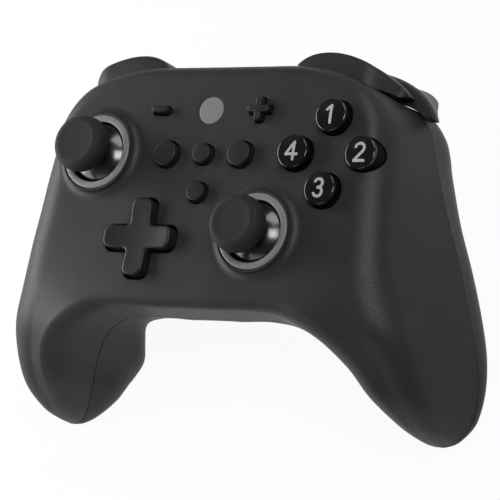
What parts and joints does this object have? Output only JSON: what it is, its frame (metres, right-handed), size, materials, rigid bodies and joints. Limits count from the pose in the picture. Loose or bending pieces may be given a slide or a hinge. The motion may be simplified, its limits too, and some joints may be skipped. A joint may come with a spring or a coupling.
{
  "type": "game controller",
  "caption": "Two-handed game controller with offset thumb sticks, a direction pad, face and system buttons, bumpers, triggers and rumble motors in a two-piece shell.",
  "frame": {"origin": "in the mid plane on the flat underside of the battery hump, 27 mm in from the shell's far edge", "axes": "+X towards the player's right hand, +Y towards the shoulder buttons, +Z out of the face"},
  "size_m": [0.154, 0.1066, 0.0635],
  "materials": {
    "shell_plastic": "fine-grained matte black",
    "button_plastic": "gloss black",
    "control_plastic": "smooth satin black",
    "cap_rubber": "soft matte black",
    "trim_grey": "satin grey",
    "steel": "plain",
    "bracket_plastic": "plain dark grey",
    "keypad_rubber": "matte grey",
    "circuit_board": "solder mask green",
    "chip_plastic": "matte black",
    "battery_wrap": "shrink wrap"
  },
  "bodies": {
    "body": {"front_shell": "shell_plastic", "back_shell": "shell_plastic", "face_disc": "trim_grey", "left_stick_ring": "trim_grey", "right_stick_ring": "trim_grey", "left_stick_housing": "steel", "right_stick_housing": "steel", "pad_stand": "bracket_plastic", "pad_membrane": "keypad_rubber", "face_button_membrane": "keypad_rubber", "system_membrane": "keypad_rubber", "left_shoulder_frame": "bracket_plastic", "right_shoulder_frame": "bracket_plastic", "trigger_pins": "steel", "bumper_pins": "steel", "main_board": "circuit_board", "board_chips": "chip_plastic", "battery": "battery_wrap", "usb_socket": "steel", "left_motor": "steel", "right_motor": "steel", "shell_screws": "steel", "board_screws": "steel"},
    "left_yoke": {"left_stick_yoke": "steel"},
    "left_post": {"left_stick_post": "steel"},
    "left_thumb_cap": {"left_stick_cap": "cap_rubber", "left_stick_dome": "button_plastic"},
    "right_yoke": {"right_stick_yoke": "steel"},
    "right_post": {"right_stick_post": "steel"},
    "right_thumb_cap": {"right_stick_cap": "cap_rubber", "right_stick_dome": "button_plastic"},
    "pad_cup": {"pad_pivot_cup": "steel"},
    "pad": {"direction_pad": "control_plastic"},
    "button_a": {"button_a": "button_plastic"},
    "button_b": {"button_b": "button_plastic"},
    "button_x": {"button_x": "button_plastic"},
    "button_y": {"button_y": "button_plastic"},
    "button_minus": {"button_minus": "control_plastic"},
    "button_plus": {"button_plus": "control_plastic"},
    "button_capture": {"button_capture": "control_plastic"},
    "button_settings": {"button_settings": "control_plastic"},
    "button_home": {"button_home": "control_plastic"},
    "button_extra": {"button_extra": "control_plastic"},
    "left_bumper": {"left_bumper": "shell_plastic"},
    "left_trigger": {"left_trigger": "shell_plastic"},
    "left_weight": {"left_motor_weight": "steel"},
    "right_bumper": {"right_bumper": "shell_plastic"},
    "right_trigger": {"right_trigger": "shell_plastic"},
    "right_weight": {"right_motor_weight": "steel"}
  },
  "joints": [
    {"name": "left_stick_up_down", "type": "hinge", "parent": "body", "child": "left_yoke", "pos_m": [-0.0374, -0.001, 0.041], "axis": [1, 0, 0], "range_deg": [-18, 18], "stiffness_Nm_per_rad": 0.05},
    {"name": "left_stick_left_right", "type": "hinge", "parent": "left_yoke", "child": "left_post", "pos_m": [-0.0374, -0.001, 0.041], "axis": [0, 1, 0], "range_deg": [-18, 18], "stiffness_Nm_per_rad": 0.05},
    {"name": "left_stick_click", "type": "slide", "parent": "left_post", "child": "left_thumb_cap", "axis": [0, 0, -1], "range_m": [0, 0.0005], "stiffness_N_per_m": 2000, "springref_m": -0.0005},
    {"name": "right_stick_up_down", "type": "hinge", "parent": "body", "child": "right_yoke", "pos_m": [0.0209, -0.0243, 0.041], "axis": [1, 0, 0], "range_deg": [-18, 18], "stiffness_Nm_per_rad": 0.05},
    {"name": "right_stick_left_right", "type": "hinge", "parent": "right_yoke", "child": "right_post", "pos_m": [0.0209, -0.0243, 0.041], "axis": [0, 1, 0], "range_deg": [-18, 18], "stiffness_Nm_per_rad": 0.05},
    {"name": "right_stick_click", "type": "slide", "parent": "right_post", "child": "right_thumb_cap", "axis": [0, 0, -1], "range_m": [0, 0.0005], "stiffness_N_per_m": 2000, "springref_m": -0.0005},
    {"name": "pad_up_down", "type": "hinge", "parent": "body", "child": "pad_cup", "pos_m": [-0.018, -0.0265, 0.045], "axis": [1, 0, 0], "range_deg": [-5.5, 5.5], "stiffness_Nm_per_rad": 0.1},
    {"name": "pad_left_right", "type": "hinge", "parent": "pad_cup", "child": "pad", "pos_m": [-0.018, -0.0265, 0.045], "axis": [0, 1, 0], "range_deg": [-5.5, 5.5], "stiffness_Nm_per_rad": 0.1},
    {"name": "button_a_press", "type": "slide", "parent": "body", "child": "button_a", "axis": [0, 0, -1], "range_m": [0, 0.0012], "stiffness_N_per_m": 400, "springref_m": -0.0008},
    {"name": "button_b_press", "type": "slide", "parent": "body", "child": "button_b", "axis": [0, 0, -1], "range_m": [0, 0.0012], "stiffness_N_per_m": 400, "springref_m": -0.0008},
    {"name": "button_x_press", "type": "slide", "parent": "body", "child": "button_x", "axis": [0, 0, -1], "range_m": [0, 0.0012], "stiffness_N_per_m": 400, "springref_m": -0.0008},
    {"name": "button_y_press", "type": "slide", "parent": "body", "child": "button_y", "axis": [0, 0, -1], "range_m": [0, 0.0012], "stiffness_N_per_m": 400, "springref_m": -0.0008},
    {"name": "button_minus_press", "type": "slide", "parent": "body", "child": "button_minus", "axis": [0, 0, -1], "range_m": [0, 0.0008], "stiffness_N_per_m": 400, "springref_m": -0.0008},
    {"name": "button_plus_press", "type": "slide", "parent": "body", "child": "button_plus", "axis": [0, 0, -1], "range_m": [0, 0.0008], "stiffness_N_per_m": 400, "springref_m": -0.0008},
    {"name": "button_capture_press", "type": "slide", "parent": "body", "child": "button_capture", "axis": [0, 0, -1], "range_m": [0, 0.0008], "stiffness_N_per_m": 400, "springref_m": -0.0008},
    {"name": "button_settings_press", "type": "slide", "parent": "body", "child": "button_settings", "axis": [0, 0, -1], "range_m": [0, 0.0008], "stiffness_N_per_m": 400, "springref_m": -0.0008},
    {"name": "button_home_press", "type": "slide", "parent": "body", "child": "button_home", "axis": [0, 0, -1], "range_m": [0, 0.0008], "stiffness_N_per_m": 400, "springref_m": -0.0008},
    {"name": "button_extra_press", "type": "slide", "parent": "body", "child": "button_extra", "axis": [0, 0, -1], "range_m": [0, 0.0008], "stiffness_N_per_m": 400, "springref_m": -0.0008},
    {"name": "left_bumper_press", "type": "hinge", "parent": "body", "child": "left_bumper", "pos_m": [-0.0249, 0.0228, 0.038], "axis": [0, 0, 1], "range_deg": [0, 2.5], "stiffness_Nm_per_rad": 0.3, "springref_deg": -2.86},
    {"name": "left_trigger_pull", "type": "hinge", "parent": "body", "child": "left_trigger", "pos_m": [-0.0367, 0.017, 0.03], "axis": [-1, 0, 0], "range_deg": [0, 16], "stiffness_Nm_per_rad": 0.1, "springref_deg": -11.46},
    {"name": "left_weight_spin", "type": "hinge", "parent": "body", "child": "left_weight", "pos_m": [-0.0585, -0.056, 0.022], "axis": [0, 1, 0], "continuous": true},
    {"name": "right_bumper_press", "type": "hinge", "parent": "body", "child": "right_bumper", "pos_m": [0.0249, 0.0228, 0.038], "axis": [0, 0, -1], "range_deg": [0, 2.5], "stiffness_Nm_per_rad": 0.3, "springref_deg": -2.86},
    {"name": "right_trigger_pull", "type": "hinge", "parent": "body", "child": "right_trigger", "pos_m": [0.0367, 0.017, 0.03], "axis": [-1, 0, 0], "range_deg": [0, 16], "stiffness_Nm_per_rad": 0.1, "springref_deg": -11.46},
    {"name": "right_weight_spin", "type": "hinge", "parent": "body", "child": "right_weight", "pos_m": [0.0585, -0.056, 0.022], "axis": [0, 1, 0], "continuous": true}
  ]
}
